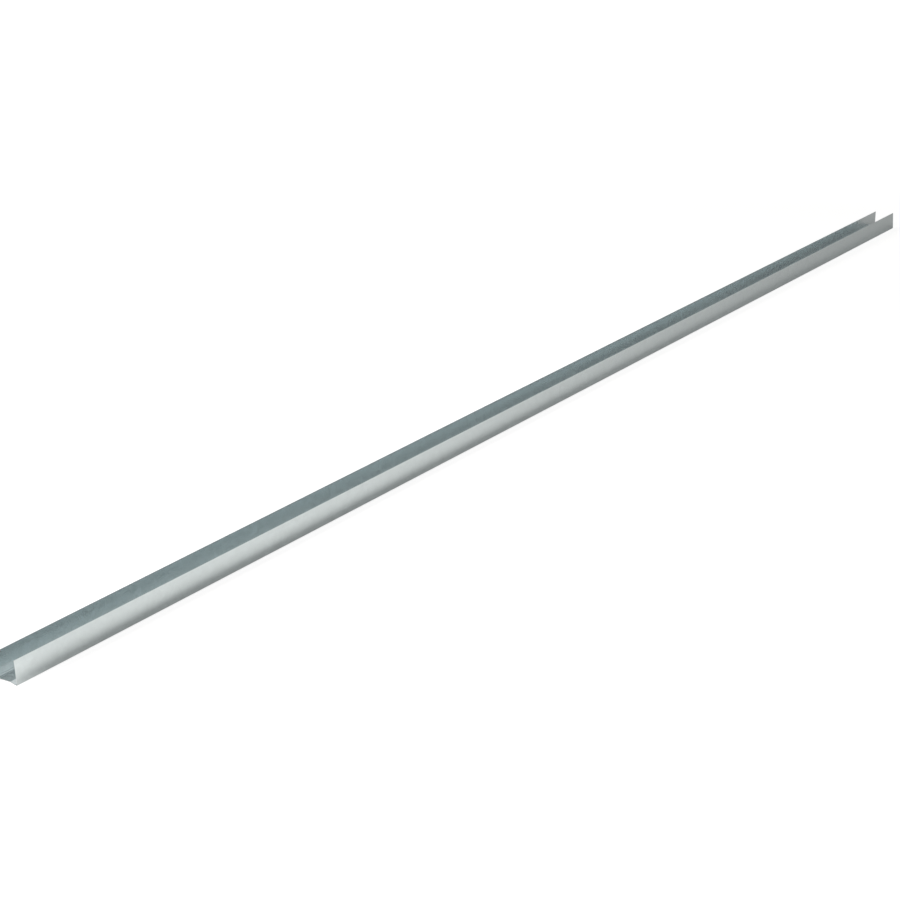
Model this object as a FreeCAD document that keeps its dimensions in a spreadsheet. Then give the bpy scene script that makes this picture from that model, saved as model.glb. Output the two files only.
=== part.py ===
"""Metal stud track: a U-section rolled from one strip of galvanised sheet steel.

The track lies on its web with its open side up, as a floor runner does. X runs along its length,
Y across the web and Z up. The origin is the middle of the footprint, on the plane it rests on.
All sizes are in millimetres.
"""

import FreeCAD, Part
import Sketcher
import os

NODE = "stud_track"

SIZES = (
    ("track_length", 3000.0, "full stock length"),
    ("web_width", 50.0, "outside width across the web"),
    ("flange_height", 40.0, "outside height of each flange"),
    ("sheet_gauge", 0.6, "thickness of the sheet"),
    ("corner_radius", 1.6, "outside radius of the two corner bends"),
    ("strip_width", 5.0, "foot of the web beside each corner, which bears on the floor"),
    ("ramp_width", 9.0, "slope of the web between each foot and the raised panel"),
    ("panel_rise", 3.0, "height of the web's raised middle panel over its feet"),
    ("panel_radius", 6.0, "outside radius of the four shallow bends of the web"),
)

# How a sketch numbers a line's two ends and its own two axes.
START, END = 1, 2
FLOOR_AXIS, MIDDLE_AXIS = -1, -2

# Lengths that differ by less than this are the same.
NEAR = 1e-3

# The sheet's volume over that of its flat girth: bends take a little away and slopes add a little.
LEAST_SHARE, MOST_SHARE = 0.9, 1.02


def make_sheet(doc):
    """Put the driving dimensions in a spreadsheet, one to a row."""
    sheet = doc.addObject("Spreadsheet::Sheet", "Sizes")
    for row, (alias, value, note) in enumerate(SIZES, start=1):
        sheet.set(f"A{row}", note)
        sheet.set(f"B{row}", str(value))
        sheet.setAlias(f"B{row}", alias)
    doc.recompute()
    return sheet


def web_places(sheet):
    """How far the outside, the inner edge of a foot and the panel's edge are from the middle."""
    side = sheet.web_width / 2
    foot = side - sheet.strip_width
    return side, foot, foot - sheet.ramp_width


def add_outline(body, sheet):
    """Sketch the outside of the section, closed across the mouth and even about the middle."""
    sketch = body.newObject("Sketcher::SketchObject", "Outline")
    plane = next(item for item in body.Origin.OriginFeatures if item.Role == "YZ_Plane")
    sketch.AttachmentSupport = [(plane, "")]
    sketch.MapMode = "FlatFace"

    side, foot, crest = web_places(sheet)
    right = [(crest, sheet.panel_rise), (foot, 0), (side, 0), (side, sheet.flange_height)]
    left = [(-across, up) for across, up in reversed(right)]
    corners = [FreeCAD.Vector(across, up, 0) for across, up in right + left]
    lines = [Part.LineSegment(a, b) for a, b in zip(corners, corners[1:] + corners[:1])]
    sketch.addGeometry(lines, False)

    ramp, strip, flange, mouth, left_flange, left_strip, left_ramp, panel = range(len(lines))
    for line in range(len(lines)):
        following = (line + 1) % len(lines)
        sketch.addConstraint(Sketcher.Constraint("Coincident", line, END, following, START))
    for first, second in ((panel, panel), (left_ramp, strip), (left_strip, flange), (mouth, mouth)):
        second_end = END if first == second else START
        sketch.addConstraint(
            Sketcher.Constraint("Symmetric", first, START, second, second_end, MIDDLE_AXIS))
    sketch.addConstraint(Sketcher.Constraint("Vertical", flange))
    for point in (START, END):
        sketch.addConstraint(Sketcher.Constraint("PointOnObject", strip, point, FLOOR_AXIS))

    spans = (
        ("web_width", "DistanceX", left_flange, END, flange, START),
        ("flange_height", "DistanceY", flange, START, flange, END),
        ("strip_width", "DistanceX", strip, START, strip, END),
        ("ramp_width", "DistanceX", ramp, START, ramp, END),
        ("panel_rise", "DistanceY", ramp, END, ramp, START),
    )
    for alias, kind, *ends in spans:
        size = getattr(sheet, alias)
        index = sketch.addConstraint(Sketcher.Constraint(kind, *ends, size))
        sketch.renameConstraint(index, alias)
        sketch.setExpression(f"Constraints.{alias}", f"Sizes.{alias}")
    return sketch


def long_edges(shape, places):
    """Name the edges that run the whole length through any of these (across, up) places."""
    names = []
    for number, edge in enumerate(shape.Edges, start=1):
        middle = edge.CenterOfMass
        along = abs(edge.tangentAt(edge.FirstParameter).x) > 1 - NEAR
        if along and any(abs(abs(middle.y) - across) < NEAR and abs(middle.z - up) < NEAR
                         for across, up in places):
            names.append(f"Edge{number}")
    return names


def open_faces(shape):
    """Name the mouth and the two ends, where the sheet is left open."""
    box = shape.BoundBox
    names = []
    for number, face in enumerate(shape.Faces, start=1):
        middle = face.CenterOfMass
        if abs(middle.z - box.ZMax) < NEAR or abs(abs(middle.x) - box.XMax) < NEAR:
            names.append(f"Face{number}")
    return names


def add_bend(doc, body, name, base, places, radius):
    """Round the edges at these places to the outside radius of a bend."""
    fillet = body.newObject("PartDesign::Fillet", name)
    fillet.Base = (base, long_edges(base.Shape, places))
    fillet.setExpression("Radius", f"Sizes.{radius}")
    doc.recompute()
    return fillet


def build_track(doc, sheet):
    """Pad the outline, round its bends and hollow it to the sheet's thickness."""
    body = doc.addObject("PartDesign::Body", "StudTrack")
    body.Label = NODE
    body.Placement = FreeCAD.Placement()

    block = body.newObject("PartDesign::Pad", "Block")
    block.Profile = add_outline(body, sheet)
    block.Midplane = True
    block.setExpression("Length", "Sizes.track_length")
    doc.recompute()

    side, foot, crest = web_places(sheet)
    corners = add_bend(doc, body, "CornerBends", block, [(side, 0)], "corner_radius")
    bends = add_bend(doc, body, "PanelBends", corners,
                     [(foot, 0), (crest, sheet.panel_rise)], "panel_radius")

    wall = body.newObject("PartDesign::Thickness", "Wall")
    wall.Base = (bends, open_faces(bends.Shape))
    wall.Reversed = True
    wall.Join = "Intersection"
    wall.setExpression("Value", "Sizes.sheet_gauge")
    body.Tip = wall
    doc.recompute()
    return body


def check(doc, body, sheet):
    """Stop if any feature failed, or if the sheet isn't one solid of the section's volume."""
    failed = [item.Name for item in doc.Objects if {"Invalid", "Error"} & set(item.State)]
    if failed:
        raise RuntimeError(f"failed objects: {failed}")
    shape = body.Shape
    if shape.isNull() or not shape.isValid() or len(shape.Solids) != 1:
        raise RuntimeError(f"{body.Label} isn't one valid solid")
    box = shape.BoundBox
    sizes = (sheet.track_length, sheet.web_width, sheet.flange_height)
    if any(abs(got - size) > NEAR for got, size in zip((box.XLength, box.YLength, box.ZLength), sizes)):
        raise RuntimeError("the track's outside isn't its stated size")
    girth = sheet.web_width + 2 * sheet.flange_height
    flat_volume = girth * sheet.sheet_gauge * sheet.track_length
    if not LEAST_SHARE < shape.Volume / flat_volume < MOST_SHARE:
        raise RuntimeError("the wall isn't the sheet's thickness")
    print(f"{body.Label}: {box.XLength:.1f} x {box.YLength:.1f} x {box.ZLength:.1f} mm, "
          f"{shape.Volume / 1000:.1f} cm3")


def main():
    doc = FreeCAD.newDocument("StudTrack")
    sheet = make_sheet(doc)
    body = build_track(doc, sheet)
    check(doc, body, sheet)
    os.makedirs("parts", exist_ok=True)
    body.Shape.exportStep(os.path.join("parts", f"{body.Label}.step"))


main()
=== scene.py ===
"""Metal stud track: the look of a U-section floor runner rolled from galvanised sheet steel.

Laid out as an add-on. TRACK_OT_roll_sheet forms the sheet, and TRACK_OT_set_stage makes the floor,
the lamps and the camera. Lengths are in metres. X runs along the track, Y across its web, Z up.
"""

from math import cos, pi, radians, sin, tan, atan2

import bmesh
import bpy
from bpy.props import FloatProperty, FloatVectorProperty, IntProperty, PointerProperty
from mathutils import Matrix, Vector


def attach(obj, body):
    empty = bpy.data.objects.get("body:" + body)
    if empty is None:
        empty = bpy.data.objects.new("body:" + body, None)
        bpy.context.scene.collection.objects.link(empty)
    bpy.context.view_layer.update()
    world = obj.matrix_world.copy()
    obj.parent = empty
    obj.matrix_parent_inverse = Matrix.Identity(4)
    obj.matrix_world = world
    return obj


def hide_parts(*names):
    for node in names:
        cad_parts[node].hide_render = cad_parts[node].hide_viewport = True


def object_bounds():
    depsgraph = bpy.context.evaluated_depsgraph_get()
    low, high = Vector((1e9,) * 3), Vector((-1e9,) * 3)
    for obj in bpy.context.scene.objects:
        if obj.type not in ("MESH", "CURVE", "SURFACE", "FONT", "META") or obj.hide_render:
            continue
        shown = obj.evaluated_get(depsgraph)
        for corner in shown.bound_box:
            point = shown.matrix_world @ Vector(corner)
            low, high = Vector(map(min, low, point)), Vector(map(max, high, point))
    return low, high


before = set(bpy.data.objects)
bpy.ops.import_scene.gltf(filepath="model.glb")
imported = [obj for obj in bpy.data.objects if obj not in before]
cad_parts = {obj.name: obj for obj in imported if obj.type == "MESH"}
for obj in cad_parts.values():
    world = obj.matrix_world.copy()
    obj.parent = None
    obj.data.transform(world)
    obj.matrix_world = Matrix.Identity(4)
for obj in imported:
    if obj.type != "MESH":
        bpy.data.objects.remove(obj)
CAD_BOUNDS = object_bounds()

bl_info = {
    "name": "Metal Stud Track",
    "version": (1, 0, 0),
    "blender": (4, 5, 0),
    "location": "View3D > Sidebar > Stud Track",
    "description": "A galvanised U-section floor runner with its studio",
    "category": "Object",
}

NODE = "stud_track"
BODY = "root"
MM = 0.001
LOW, HIGH = CAD_BOUNDS
HALF = (HIGH.y - LOW.y) / 2

# Places closer than this count as the same.
SAME = 0.02 * MM

# Faces around a corner bend and a shallow bend, and up a flange.
CORNER_FACES = 10
SHALLOW_FACES = 5
FLANGE_ROWS = 8

# The lengths in metres of each flange's three waves, left (1) and right (-1), and each one's share.
WAVE_LENGTHS = {1: (0.83, 0.31, 0.127), -1: (0.97, 0.27, 0.143)}
WAVE_SHARES = (0.25, 0.16, 0.09)

# A leaning flange curls, so that its lean grows with its height to this power.
CURL = 1.5

# Edges sharper than the first are rounded as cut ones, and softer than the second are shaded smooth.
CUT_ANGLE = radians(60)
SMOOTH_ANGLE = radians(35)

# The strength of the floor's own white, and how much of it the camera sees beside the track and
# far away, and the metal's gloss everywhere.
WHITE = 1.43
NEAR_WHITE = 0.6
FAR_WHITE = 1.0
GLOSS_WHITE = 0.07

# The room: the light that it gives the floor, and what the metal mirrors of it. Its walls brighten
# between two heights and its ceiling is dimmer, with each height the sine of an elevation.
ROOM_FILL = 0.28
LOW_GLOSS = 0.08
WALL_GLOSS = 0.95
WALL_HEIGHTS = (0.235, 0.5)
CEILING_LOSS = 0.3
CEILING_HEIGHTS = (0.5, 0.85)

SENSOR_WIDTH = 36.0


# ---------------------------------------------------------------- settings

class TrackSizes(bpy.types.PropertyGroup):
    """The section of the sheet, where its overall box doesn't give it."""

    gauge: FloatProperty(
        name="Gauge", description="Thickness of the sheet", default=0.6 * MM, unit="LENGTH")
    corner_radius: FloatProperty(
        name="Corner Radius", description="Outside radius of the bends between web and flanges",
        default=1.6 * MM, unit="LENGTH")
    strip_width: FloatProperty(
        name="Foot Width", description="Flat foot of the web beside each corner",
        default=5 * MM, unit="LENGTH")
    ramp_width: FloatProperty(
        name="Slope Width", description="Slope of the web between a foot and the raised panel",
        default=9 * MM, unit="LENGTH")
    panel_rise: FloatProperty(
        name="Panel Rise", description="Height of the raised panel over the feet",
        default=3 * MM, unit="LENGTH")
    panel_radius: FloatProperty(
        name="Panel Bend Radius", description="Outside radius of the web's four shallow bends",
        default=6 * MM, unit="LENGTH")
    edge_round: FloatProperty(
        name="Cut Edge Round", description="Rounding that shearing leaves on the cut edges",
        default=0.09 * MM, unit="LENGTH")
    end_toe_in: FloatProperty(
        name="End Toe-in", description="How far the left flange's tip leans in at the cut ends",
        default=1.7 * MM, unit="LENGTH")
    tip_wave: FloatProperty(
        name="Tip Wave", description="Depth of the slow waves along the flanges' free edges",
        default=0.22 * MM, unit="LENGTH")
    stations: IntProperty(
        name="Stations", description="Rows of faces along the track", default=150, min=8)


class TrackFinish(bpy.types.PropertyGroup):
    """The zinc coating and the bare steel of the cuts."""

    zinc: FloatVectorProperty(
        name="Zinc", description="Colour of the coating", subtype="COLOR",
        default=(0.692, 0.752, 0.760), min=0, max=1)
    bare_steel: FloatVectorProperty(
        name="Bare Steel", description="Colour of the sheared edges", subtype="COLOR",
        default=(0.56, 0.57, 0.57), min=0, max=1)
    roughness: FloatProperty(
        name="Roughness", description="Mean roughness of the coating",
        default=0.22, min=0, max=1, subtype="FACTOR")
    spangle: FloatProperty(
        name="Spangle", description="Mean size of the zinc crystals",
        default=4.5 * MM, unit="LENGTH")


class TrackStage(bpy.types.PropertyGroup):
    """Camera, floor and lamps."""

    aim: FloatVectorProperty(
        name="Aim", description="Point on the floor that the camera looks at",
        default=(-0.3956, 0.0069, 0.0), subtype="TRANSLATION", unit="LENGTH")
    distance: FloatProperty(
        name="Distance", description="From the camera to the aim", default=3.7234, unit="LENGTH")
    heading: FloatProperty(
        name="Heading", description="Turn of the view from +Y towards +X",
        default=radians(53.046), subtype="ANGLE")
    pitch: FloatProperty(
        name="Pitch", description="How far the view looks down",
        default=radians(19.446), subtype="ANGLE")
    roll: FloatProperty(
        name="Roll", description="Clockwise turn of the camera about its view",
        default=radians(3.449), subtype="ANGLE")
    lens: FloatProperty(
        name="Lens", description="Focal length on a 36 mm sensor, in millimetres",
        default=80.276, min=1)
    floor_colour: FloatVectorProperty(
        name="Floor", description="Colour of the floor", subtype="COLOR",
        default=(0.835, 0.82, 0.80), min=0, max=1)
    floor_size: FloatProperty(
        name="Floor Size", description="Side of the square floor", default=60.0, unit="LENGTH")
    key_power: FloatProperty(
        name="Key Power", description="Of the large lamp over the track", default=50.0, unit="POWER")
    end_power: FloatProperty(
        name="End Power", description="Of the small lamp beside the near cut end", default=0.08,
        unit="POWER")


# ---------------------------------------------------------------- shader arithmetic

class Value:
    """One shader socket, so that maths on it reads as plain arithmetic."""

    def __init__(self, tree, socket):
        self.tree = tree
        self.socket = socket

    def maths(self, operation, *operands):
        node = self.tree.nodes.new("ShaderNodeMath")
        node.operation = operation
        for entry, operand in zip(node.inputs, operands):
            plug(self.tree, entry, operand)
        return Value(self.tree, node.outputs[0])

    def __add__(self, other):
        return self.maths("ADD", self, other)

    def __radd__(self, other):
        return self.maths("ADD", other, self)

    def __sub__(self, other):
        return self.maths("SUBTRACT", self, other)

    def __rsub__(self, other):
        return self.maths("SUBTRACT", other, self)

    def __mul__(self, other):
        return self.maths("MULTIPLY", self, other)

    def __rmul__(self, other):
        return self.maths("MULTIPLY", other, self)

    def __abs__(self):
        return self.maths("ABSOLUTE", self)


def plug(tree, entry, source):
    """Link a socket to an input, or set the input to a plain value."""
    if isinstance(source, Value):
        tree.links.new(source.socket, entry)
    else:
        entry.default_value = source


class Nodes:
    """A node tree being written, with one method that adds any node."""

    def __init__(self, owner):
        owner.use_nodes = True
        self.tree = owner.node_tree
        self.tree.nodes.clear()

    def add(self, kind, output=0, settings=None, **inputs):
        """Add a node, set it up, fill its inputs and give back one of its outputs.

        An input is named in lower case with underscores, or as in0, in1 for its place.
        """
        node = self.tree.nodes.new("ShaderNode" + kind)
        for key, setting in (settings or {}).items():
            setattr(node, key, setting)
        for key, source in inputs.items():
            plug(self.tree, self.entry(node, key), source)
        return Value(self.tree, node.outputs[output]) if node.outputs else node

    @staticmethod
    def entry(node, key):
        if key[:2] == "in" and key[2:].isdigit():
            return node.inputs[int(key[2:])]
        wanted = key.replace("_", " ")
        return next(item for item in node.inputs if item.enabled and item.name.lower() == wanted)

    def noise(self, place, patch, detail=2.0):
        """Cloudy noise whose patches measure about patch along X, Y and Z."""
        shares = tuple(1.0 / size for size in patch)
        even = self.add("VectorMath", settings={"operation": "MULTIPLY"}, in0=place, in1=shares)
        return self.add("TexNoise", vector=even, scale=1.0, detail=detail)

    def band(self, value, start, end):
        """0 at start and 1 at end, with a smooth step between them."""
        return self.add("MapRange", settings={"interpolation_type": "SMOOTHSTEP"},
                        value=value, from_min=start, from_max=end, to_min=0.0, to_max=1.0)

    def blend(self, factor, first, second):
        """Mix two colours."""
        mix = self.tree.nodes.new("ShaderNodeMix")
        mix.data_type = "RGBA"
        plug(self.tree, mix.inputs[0], factor)
        for entry, colour in ((mix.inputs[6], first), (mix.inputs[7], second)):
            plug(self.tree, entry, colour if isinstance(colour, Value) else (*colour[:3], 1.0))
        return Value(self.tree, mix.outputs[2])

    def finish(self, shader, kind="OutputMaterial"):
        self.add(kind, surface=shader)


def new_material(name):
    material = bpy.data.materials.new(name)
    return material, Nodes(material)


def shade(colour, factor):
    """A colour made lighter or darker."""
    return tuple(min(1.0, channel * factor) for channel in colour)


# ---------------------------------------------------------------- finishes

def galvanised_steel(finish, sizes):
    """Satin zinc: spangle, mottle and clouds, faint rolling lines, and burnished corner bends."""
    material, nodes = new_material("galvanised_zinc")
    place = nodes.add("TexCoord", output="Object")

    # Each pattern swings about 0, and peel is the slight unevenness of a rolled surface.
    cells = nodes.add("TexVoronoi", output="Color", vector=place, scale=1.0 / finish.spangle)
    crystal = nodes.add("SeparateColor", in0=cells) - 0.5
    mottle = nodes.noise(place, (18 * MM, 12 * MM, 12 * MM), detail=3.0) - 0.5
    cloud = nodes.noise(place, (400 * MM, 70 * MM, 70 * MM), detail=3.0) - 0.5
    lines = nodes.noise(place, (800 * MM, 0.7 * MM, 0.7 * MM)) - 0.5
    peel = nodes.noise(place, (14 * MM, 9 * MM, 9 * MM), detail=1.0) - 0.5

    # The tone runs from 0, the darkest zinc, to 1, the lightest.
    tone = crystal * 0.3 + mottle * 0.9 + cloud * 0.35 + lines * 0.2 + 0.5
    colour = nodes.blend(tone, shade(finish.zinc, 0.92), shade(finish.zinc, 1.08))

    # The forming rolls rub the outside of the corner bends bright.
    across = nodes.add("SeparateXYZ", output="Y", in0=place)
    height = nodes.add("SeparateXYZ", output="Z", in0=place)
    outward = nodes.band(abs(across), HALF - sizes.corner_radius * 1.2, HALF - sizes.corner_radius * 0.2)
    downward = nodes.band(height, sizes.corner_radius * 1.4, sizes.corner_radius * 0.3)
    burnish = outward * downward
    colour = nodes.blend(burnish * 0.35, colour, shade(finish.zinc, 1.12))

    rough = (crystal * 0.04 + mottle * 0.06 + cloud * 0.08 + lines * 0.04 - burnish * 0.04
             + finish.roughness)
    normal = nodes.add("Bump", strength=1.0, distance=0.15 * MM, height=peel * 0.5 + lines * 0.05)
    shader = nodes.add("BsdfPrincipled", base_color=colour, metallic=1.0, roughness=rough, normal=normal)
    nodes.finish(shader)
    return material


def sheared_edge(finish):
    """Bare steel of a cut edge, with the upright lines of the shear."""
    material, nodes = new_material("sheared_steel")
    place = nodes.add("TexCoord", output="Object")
    lines = nodes.noise(place, (1.1 * MM, 1.1 * MM, 3.3 * MM))
    colour = nodes.blend(lines, shade(finish.bare_steel, 0.85), shade(finish.bare_steel, 1.2))
    normal = nodes.add("Bump", strength=0.4, distance=0.03 * MM, height=lines)
    shader = nodes.add("BsdfPrincipled", base_color=colour, metallic=1.0,
                       roughness=lines * 0.2 + 0.3, normal=normal)
    nodes.finish(shader)
    return material


# ---------------------------------------------------------------- the sheet

def select_edges(mesh, wanted):
    """In edit mode, leave only the edges selected that wanted(first, second) accepts."""
    bpy.ops.mesh.select_mode(type="EDGE")
    bpy.ops.mesh.select_all(action="DESELECT")
    shape = bmesh.from_edit_mesh(mesh)
    for edge in shape.edges:
        first, second = (vertex.co for vertex in edge.verts)
        if wanted(first, second):
            edge.select_set(True)
    shape.select_flush_mode()
    bmesh.update_edit_mesh(mesh)


def near(value, target):
    return abs(value - target) < SAME


def runs_along(first, second):
    return near(first.y, second.y) and near(first.z, second.z)


def draw_section(mesh, sizes, crest):
    """Extrude the panel's long sides into slopes, feet and flanges."""
    for side in (1, -1):
        select_edges(mesh, lambda a, b: near(a.y, side * crest) and near(b.y, side * crest))
        for move in ((0, side * sizes.ramp_width, -sizes.panel_rise),
                     (0, side * sizes.strip_width, 0),
                     (0, 0, HIGH.z - LOW.z)):
            bpy.ops.mesh.extrude_region_move(TRANSFORM_OT_translate={"value": move})
    bpy.ops.mesh.select_all(action="SELECT")
    bpy.ops.mesh.flip_normals()


def bend_section(mesh, sizes, crest, foot):
    """Round the section at its two corners and its four shallow bends."""
    slope = atan2(sizes.panel_rise, sizes.ramp_width)
    shallow = sizes.panel_radius * tan(slope / 2)
    for across, up, setback, segments in ((HALF, LOW.z, sizes.corner_radius, CORNER_FACES),
                                          (foot, LOW.z, shallow, SHALLOW_FACES),
                                          (crest, LOW.z + sizes.panel_rise, shallow, SHALLOW_FACES)):
        select_edges(mesh, lambda a, b: runs_along(a, b) and near(abs(a.y), across) and near(a.z, up))
        bpy.ops.mesh.bevel(offset=setback, offset_type="OFFSET", segments=segments, profile=0.5)


def climbs_flange(first, second):
    upright = near(first.x, second.x) and near(first.y, second.y) and near(abs(first.y), HALF)
    return upright and abs(first.z - second.z) > (HIGH.z - LOW.z) / 2


def divide_sheet(mesh, sizes):
    """Cut the flanges into rows and the whole track into stations."""
    select_edges(mesh, climbs_flange)
    bpy.ops.mesh.subdivide(number_cuts=FLANGE_ROWS - 1)
    select_edges(mesh, runs_along)
    bpy.ops.mesh.subdivide(number_cuts=sizes.stations - 1)


def waviness(along, side):
    """How far in the waves lean a flange's tip at a place along it, from 0 to 1."""
    return 0.5 + sum(share * sin(2 * pi * along / length + side)
                     for share, length in zip(WAVE_SHARES, WAVE_LENGTHS[side]))


def spring_flanges(mesh, sizes):
    """Lean the flanges in as a rolled sheet springs: in slow waves, and the left one at its ends."""
    shape = bmesh.from_edit_mesh(mesh)
    bend_top = LOW.z + sizes.corner_radius
    for vertex in shape.verts:
        lift = (vertex.co.z - bend_top) / (HIGH.z - bend_top)
        if lift <= 0 or not near(abs(vertex.co.y), HALF):
            continue
        side = 1 if vertex.co.y > 0 else -1
        lean = sizes.tip_wave * waviness(vertex.co.x, side)
        if side > 0:
            lean += sizes.end_toe_in * (vertex.co.x / HIGH.x) ** 2
        vertex.co.y -= side * lean * lift ** CURL
    bmesh.update_edit_mesh(mesh)


def apply_modifier(sheet, kind, **settings):
    modifier = sheet.modifiers.new(kind.title(), kind)
    for key, setting in settings.items():
        setattr(modifier, key, setting)
    bpy.ops.object.modifier_apply(modifier=modifier.name)


class TRACK_OT_roll_sheet(bpy.types.Operator):
    """Form the track's sheet: its section, its thickness, its cut edges and its finish"""

    bl_idname = "track.roll_sheet"
    bl_label = "Roll Track Sheet"

    def execute(self, context):
        sizes = context.scene.track_sizes
        finish = context.scene.track_finish
        foot = HALF - sizes.strip_width
        crest = foot - sizes.ramp_width

        bpy.ops.object.select_all(action="DESELECT")
        bpy.ops.mesh.primitive_plane_add(
            size=1, location=((LOW.x + HIGH.x) / 2, 0, LOW.z + sizes.panel_rise))
        sheet = context.object
        sheet.name = "track_sheet"
        sheet.scale = (HIGH.x - LOW.x, 2 * crest, 1)
        bpy.ops.object.transform_apply(location=True, rotation=False, scale=True)

        bpy.ops.object.mode_set(mode="EDIT")
        draw_section(sheet.data, sizes, crest)
        bend_section(sheet.data, sizes, crest, foot)
        divide_sheet(sheet.data, sizes)
        spring_flanges(sheet.data, sizes)
        bpy.ops.object.mode_set(mode="OBJECT")

        sheet.data.materials.append(galvanised_steel(finish, sizes))
        sheet.data.materials.append(sheared_edge(finish))
        apply_modifier(sheet, "SOLIDIFY", thickness=sizes.gauge, offset=-1.0,
                       use_even_offset=True, material_offset_rim=1)
        apply_modifier(sheet, "BEVEL", width=sizes.edge_round, segments=2,
                       limit_method="ANGLE", angle_limit=CUT_ANGLE)
        bpy.ops.object.shade_smooth_by_angle(angle=SMOOTH_ANGLE)
        apply_modifier(sheet, "WEIGHTED_NORMAL", mode="FACE_AREA", keep_sharp=True)

        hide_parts(NODE)
        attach(sheet, BODY)
        return {"FINISHED"}


# ---------------------------------------------------------------- the stage

def add_floor(stage):
    """A pale floor that reads white from the camera and keeps the track's soft shadow."""
    bpy.ops.mesh.primitive_plane_add(size=stage.floor_size, location=(0, 0, LOW.z - SAME))
    floor = bpy.context.object
    floor.name = "studio_floor"
    material, nodes = new_material("studio_floor_paint")
    camera_ray = nodes.add("LightPath", output="Is Camera Ray")
    glossy_ray = nodes.add("LightPath", output="Is Glossy Ray")

    # Away from the track's shadow the floor turns plain white, so that no edge of it shows.
    place = nodes.add("TexCoord", output="Object")
    reach = nodes.add("VectorMath", output="Value", settings={"operation": "LENGTH"}, in0=place)
    away = nodes.band(reach, HIGH.x * 1.07, HIGH.x * 2)

    paint = nodes.add("BsdfDiffuse", color=(*stage.floor_colour, 1.0))
    white = nodes.add("Emission", color=(1.0, 1.0, 1.0, 1.0), strength=WHITE)
    share = camera_ray * (away * (FAR_WHITE - NEAR_WHITE) + NEAR_WHITE) + glossy_ray * GLOSS_WHITE
    nodes.finish(nodes.add("MixShader", in0=share, in1=paint, in2=white))
    floor.data.materials.append(material)


def light_world(scene):
    """White behind everything, and in the track's gloss a room that is brightest high on its walls."""
    world = bpy.data.worlds.new("studio_air")
    scene.world = world
    nodes = Nodes(world)
    camera_ray = nodes.add("LightPath", output="Is Camera Ray")
    glossy_ray = nodes.add("LightPath", output="Is Glossy Ray")
    direction = nodes.add("TexCoord", output="Generated")
    height = nodes.add("SeparateXYZ", output="Z", in0=direction)
    walls = nodes.band(height, *WALL_HEIGHTS)
    ceiling = nodes.band(height, *CEILING_HEIGHTS)
    gloss = glossy_ray * (walls * WALL_GLOSS - ceiling * CEILING_LOSS + LOW_GLOSS)
    fill = (1.0 - camera_ray) * (1.0 - glossy_ray) * ROOM_FILL
    strength = camera_ray + gloss + fill
    nodes.finish(nodes.add("Background", color=(1.0, 1.0, 1.0, 1.0), strength=strength), "OutputWorld")


def add_lamp(name, place, aim, size, power):
    """A soft rectangular lamp that faces its aim, and is kept out of view and out of the gloss."""
    lamp = bpy.data.lights.new(name, "AREA")
    lamp.shape = "RECTANGLE"
    lamp.size, lamp.size_y = size
    lamp.energy = power
    holder = bpy.data.objects.new(name, lamp)
    bpy.context.scene.collection.objects.link(holder)
    holder.location = place
    holder.rotation_euler = (Vector(aim) - Vector(place)).to_track_quat("-Z", "Y").to_euler()
    holder.visible_camera = False
    holder.visible_glossy = False


def add_camera(scene, stage):
    """Place the camera by heading, pitch and distance from its aim, then roll it."""
    ahead = Vector((sin(stage.heading) * cos(stage.pitch),
                    cos(stage.heading) * cos(stage.pitch),
                    -sin(stage.pitch)))
    eye = Vector(stage.aim) - ahead * stage.distance
    turn = ahead.to_track_quat("-Z", "Y").to_matrix() @ Matrix.Rotation(-stage.roll, 3, "Z")
    lens = bpy.data.cameras.new("studio_camera")
    lens.sensor_width = SENSOR_WIDTH
    lens.lens = stage.lens
    camera = bpy.data.objects.new("studio_camera", lens)
    scene.collection.objects.link(camera)
    camera.matrix_world = Matrix.Translation(eye) @ turn.to_4x4()
    scene.camera = camera


class TRACK_OT_set_stage(bpy.types.Operator):
    """Make the floor, the lamps, the white surroundings and the camera"""

    bl_idname = "track.set_stage"
    bl_label = "Set Track Stage"

    def execute(self, context):
        scene = context.scene
        stage = scene.track_stage
        scene.view_settings.view_transform = "Standard"
        add_floor(stage)
        light_world(scene)
        add_lamp("key_lamp", place=(-1.25, 1.2, 1.6), aim=(-0.8, 0, 0),
                 size=(1.4, 1.2), power=stage.key_power)
        add_lamp("end_lamp", place=(-1.56, -0.06, 0.04), aim=(-1.49, -0.034, 0),
                 size=(0.04, 0.04), power=stage.end_power)
        add_camera(scene, stage)
        return {"FINISHED"}


# ---------------------------------------------------------------- add-on

class TRACK_PT_panel(bpy.types.Panel):
    """The track's settings and the buttons that build it"""

    bl_idname = "TRACK_PT_panel"
    bl_label = "Stud Track"
    bl_space_type = "VIEW_3D"
    bl_region_type = "UI"
    bl_category = "Stud Track"

    def draw(self, context):
        for group, operator in ((context.scene.track_sizes, TRACK_OT_roll_sheet),
                                (context.scene.track_finish, None),
                                (context.scene.track_stage, TRACK_OT_set_stage)):
            box = self.layout.box()
            for name in group.__annotations__:
                box.prop(group, name)
            if operator:
                box.operator(operator.bl_idname)


GROUPS = {"track_sizes": TrackSizes, "track_finish": TrackFinish, "track_stage": TrackStage}
CLASSES = (*GROUPS.values(), TRACK_OT_roll_sheet, TRACK_OT_set_stage, TRACK_PT_panel)


def register():
    for item in CLASSES:
        bpy.utils.register_class(item)
    for name, group in GROUPS.items():
        setattr(bpy.types.Scene, name, PointerProperty(type=group))


def unregister():
    for name in GROUPS:
        delattr(bpy.types.Scene, name)
    for item in reversed(CLASSES):
        bpy.utils.unregister_class(item)


def main():
    register()
    bpy.ops.track.roll_sheet()
    bpy.ops.track.set_stage()


if __name__ == "__main__":
    main()
